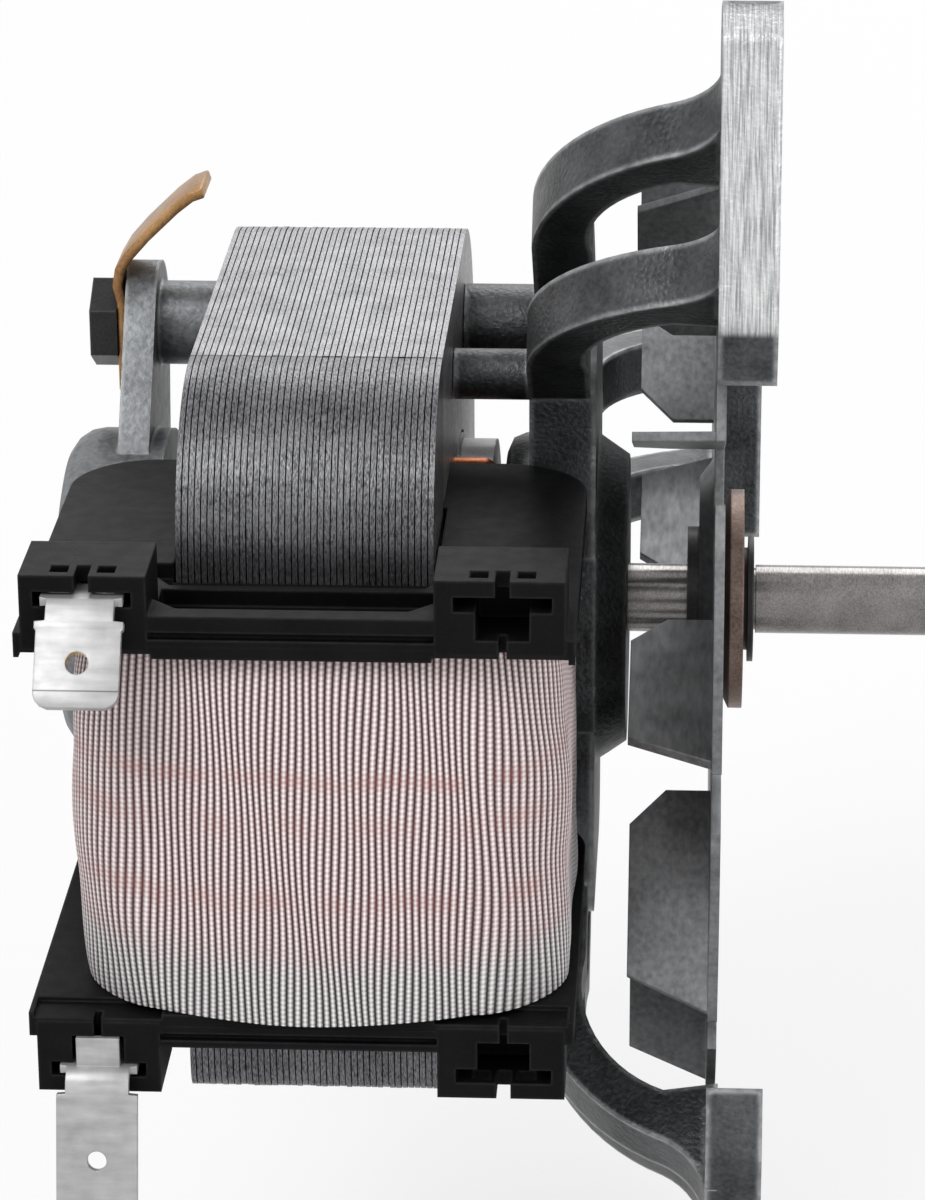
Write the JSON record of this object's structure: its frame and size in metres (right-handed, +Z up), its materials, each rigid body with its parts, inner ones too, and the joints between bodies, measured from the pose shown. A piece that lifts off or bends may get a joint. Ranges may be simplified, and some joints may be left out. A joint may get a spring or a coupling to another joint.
{
  "type": "oven fan motor",
  "caption": "Shaded-pole fan motor with a taped coil on one limb, a die-cast bracket with feet on curved arms, a bladed cooling disc and a plain output shaft.",
  "frame": {"origin": "on the shaft axis, in the plane of the feet's mounting faces", "axes": "+X along the shaft towards its output end, +Z up, coil on the -Y side"},
  "size_m": [0.082, 0.123, 0.1204],
  "materials": {
    "lamination": "stacked sheet edges",
    "copper": "heat-darkened copper",
    "bobbin_plastic": "black glass-filled plastic",
    "coil_tape": "woven glass tape over the winding",
    "tinned": "tin-plated brass",
    "rear_casting": "die-cast, dull",
    "front_casting": "die-cast, dark, ground on the foot edges",
    "sintered_bronze": "sintered bronze",
    "felt": "oiled felt",
    "steel": "ground",
    "black_steel": "blackened",
    "brass": "brass, dull",
    "cage_aluminium": "cast",
    "spacer_plastic": "moulded nylon",
    "fan_aluminium": "stamped sheet, satin",
    "hub_black": "black moulded"
  },
  "bodies": {
    "frame": {"stator_core": "lamination", "coil_limb": "lamination", "shading_rings": "copper", "bobbin": "bobbin_plastic", "coil": "coil_tape", "terminal_top": "tinned", "terminal_bottom": "tinned", "rear_bracket": "rear_casting", "front_bracket": "front_casting", "rear_bearing": "sintered_bronze", "front_bearing": "sintered_bronze", "bearing_felts": "felt", "bearing_retainers": "steel", "through_screws": "black_steel", "plain_washer": "steel", "earth_tag": "brass"},
    "rotor": {"rotor_core": "lamination", "rotor_cage": "cage_aluminium", "shaft": "steel", "thrust_spacers": "spacer_plastic", "fan": "fan_aluminium", "fan_hub": "hub_black", "fan_washer": "sintered_bronze", "fan_clip": "black_steel"}
  },
  "joints": [
    {"name": "rotor_spin", "type": "hinge", "parent": "frame", "child": "rotor", "pos_m": [0, 0, 0], "axis": [1, 0, 0], "continuous": true}
  ]
}
